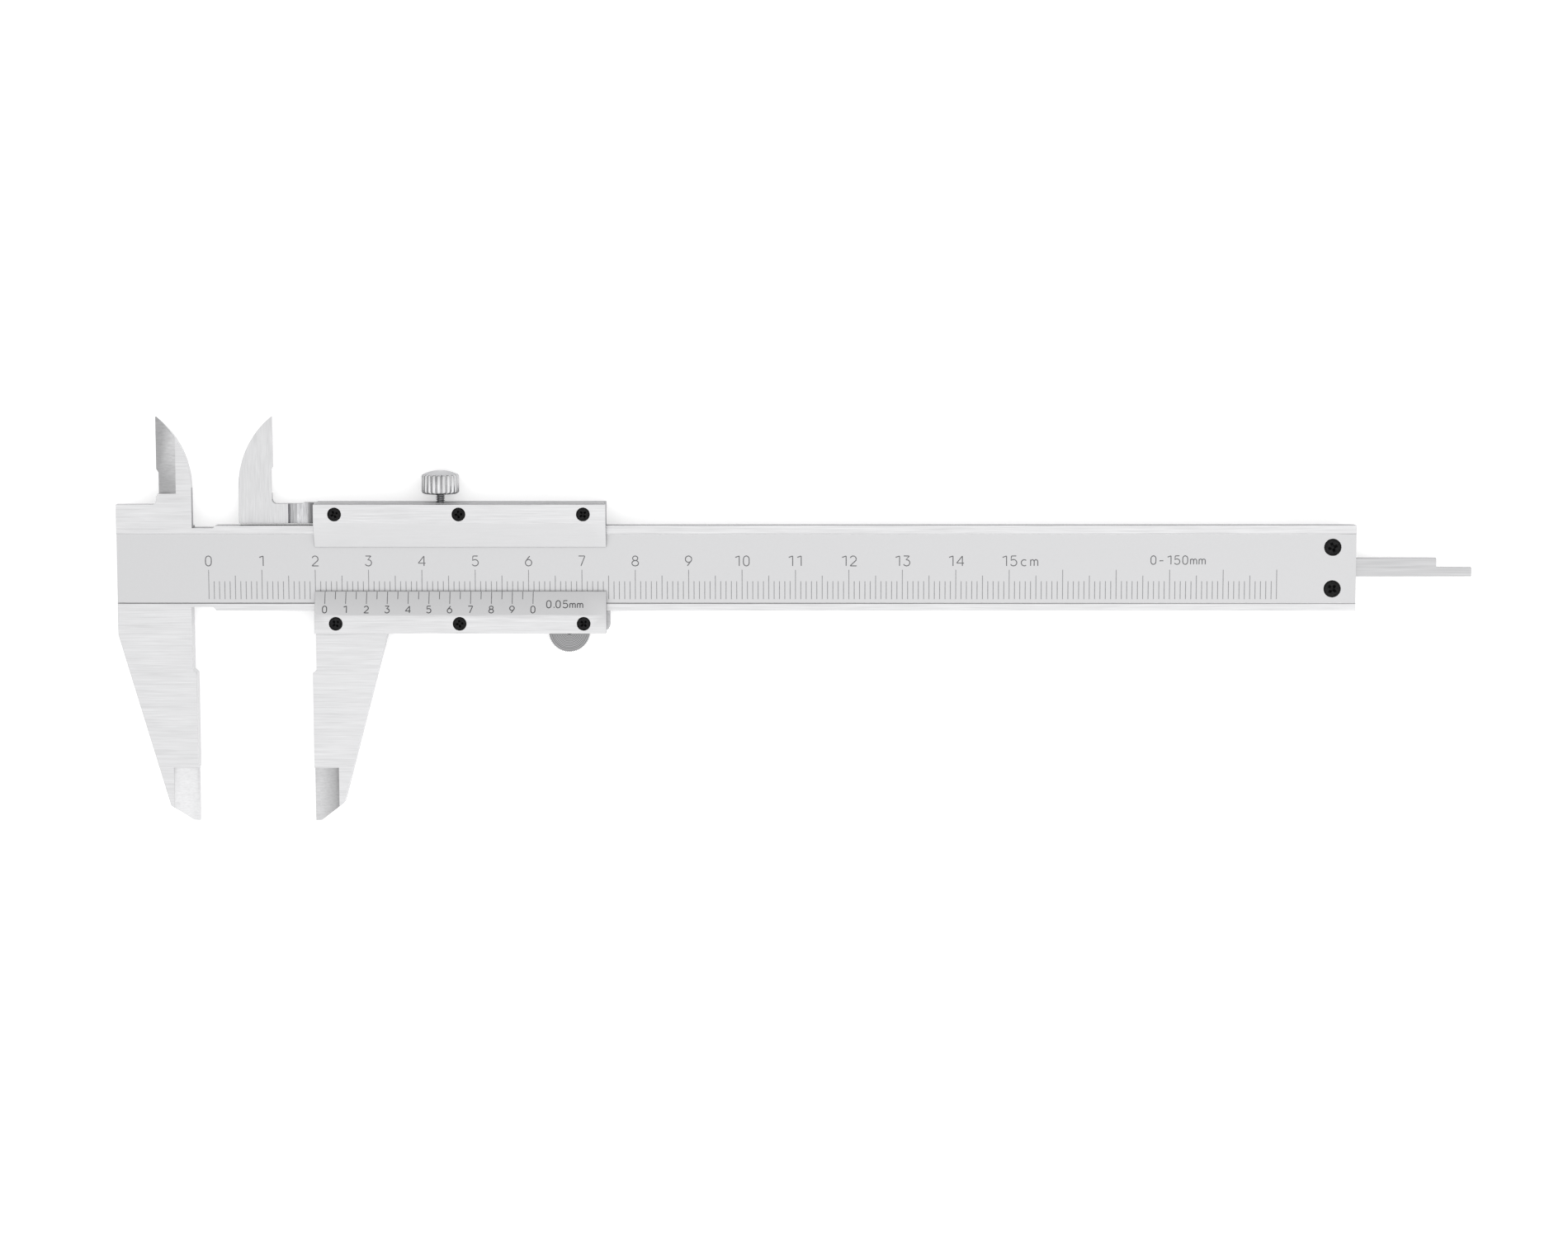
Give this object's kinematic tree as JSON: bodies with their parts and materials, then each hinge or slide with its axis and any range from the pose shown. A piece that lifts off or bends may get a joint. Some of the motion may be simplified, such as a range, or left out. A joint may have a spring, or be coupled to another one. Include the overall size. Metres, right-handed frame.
{
  "type": "vernier caliper",
  "caption": "Vernier caliper with outside and inside jaws, a depth rod, a sliding vernier, a lock screw and a thumb roller.",
  "frame": {"origin": "middle of the fixed outside jaw's measuring face, at the beam's mid-thickness", "axes": "+X along the beam, the way the slider opens; +Y from the outside jaws to the inside jaws; +Z out of the scale face, so the caliper lies on its back"},
  "size_m": [0.2539, 0.0764, 0.0074],
  "materials": {
    "ground_beam": "ground and brushed along its length, with a matt graduated recess",
    "ground_slider": "ground and brushed",
    "brushed_guide_plate": "brushed strip with a satin bevelled lip",
    "matt_vernier_plate": "brushed strip with a matt bevelled lip and engraved vernier",
    "end_stop_plate": "brushed",
    "depth_rod": "satin, drawn along its length",
    "black_screws": "black oxide, cross recess",
    "rivets_and_pin": "satin, turned",
    "pressure_strip": "satin spring bronze",
    "lock_screw_thread": "cut thread",
    "lock_screw_knob": "bright, fluted rim and polished dome",
    "etched_marks": "dark etched graduations and numbers",
    "thumb_roller": "turned face with a finely knurled rim"
  },
  "bodies": {
    "beam": {"beam_with_fixed_jaws": "ground_beam", "end_stop_plate": "end_stop_plate", "end_stop_screw_upper": "black_screws", "end_stop_screw_lower": "black_screws"},
    "slider": {"slider_frame": "ground_slider", "upper_guide_plate": "brushed_guide_plate", "vernier_plate": "matt_vernier_plate", "upper_plate_screw_1": "black_screws", "upper_plate_screw_2": "black_screws", "upper_plate_screw_3": "black_screws", "vernier_plate_screw_1": "black_screws", "vernier_plate_screw_2": "black_screws", "vernier_plate_screw_3": "black_screws", "depth_rod": "depth_rod", "depth_rod_rivet_1": "rivets_and_pin", "depth_rod_rivet_2": "rivets_and_pin", "roller_axle_pin": "rivets_and_pin"},
    "roller": {"thumb_roller": "thumb_roller"},
    "gib": {"pressure_strip": "pressure_strip"},
    "lock_screw": {"lock_screw_stem": "lock_screw_thread", "lock_screw_knob": "lock_screw_knob"}
  },
  "joints": [
    {"name": "slider_slide", "type": "slide", "parent": "beam", "child": "slider", "axis": [1, 0, 0], "range_m": [-0.02185, 0.1316]},
    {"name": "roller_spin", "type": "hinge", "parent": "slider", "child": "roller", "pos_m": [0.07005, 0.0218, -0.001], "axis": [0, 0, 1], "range_deg": [-325, 1940]},
    {"name": "lock_screw_turn", "type": "hinge", "parent": "gib", "child": "lock_screw", "pos_m": [0.0461, 0.0464, 0], "axis": [0, -1, 0], "range_deg": [-180, 180]},
    {"name": "gib_press", "type": "slide", "parent": "slider", "child": "gib", "axis": [0, -1, 0], "range_m": [-0.0002, 0.0002]}
  ],
  "couplings": [
    {"joint": "roller_spin", "follows": "slider_slide", "rad_per_m": 256.41},
    {"joint": "lock_screw_turn", "follows": "gib_press", "rad_per_m": 15708}
  ]
}
